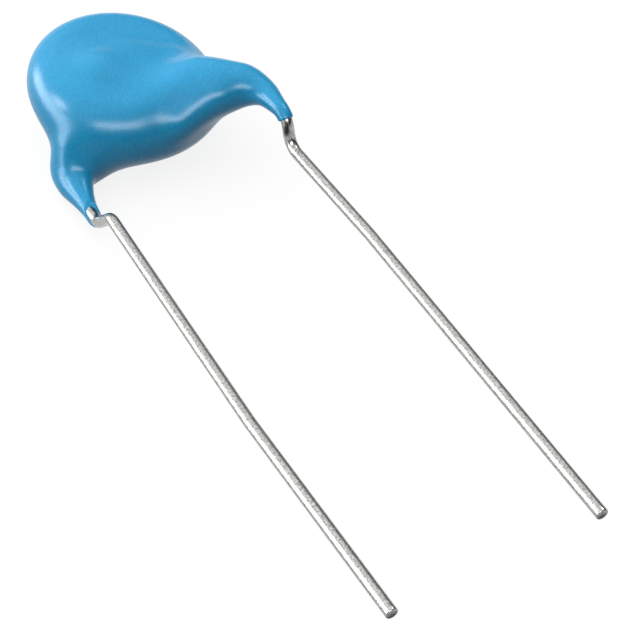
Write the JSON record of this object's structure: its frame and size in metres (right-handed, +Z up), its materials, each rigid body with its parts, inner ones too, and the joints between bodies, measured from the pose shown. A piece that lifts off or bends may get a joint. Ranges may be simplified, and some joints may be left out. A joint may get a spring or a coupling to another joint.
{
  "type": "ceramic disc capacitor",
  "caption": "Round ceramic disc capacitor dipped in blue epoxy, with long parallel wire leads, each crimped just below the coated body.",
  "frame": {"origin": "middle of the bounding box, on the surface that the part lies on", "axes": "+X from the left lead to the right lead, +Y from the cut ends of the leads to the body, +Z up from the surface"},
  "size_m": [0.0112, 0.0397, 0.0056],
  "materials": {
    "epoxy": "glossy dipped epoxy",
    "ceramic": "matt fired ceramic",
    "silver": "matt printed silver",
    "solder": "bright solder",
    "tinned_wire": "tinned, bright"
  },
  "bodies": {
    "root": {"coating": "epoxy", "ceramic_disc": "ceramic", "electrode_top": "silver", "electrode_bottom": "silver", "solder_top": "solder", "solder_bottom": "solder", "lead_left": "tinned_wire", "lead_right": "tinned_wire"}
  },
  "joints": []
}
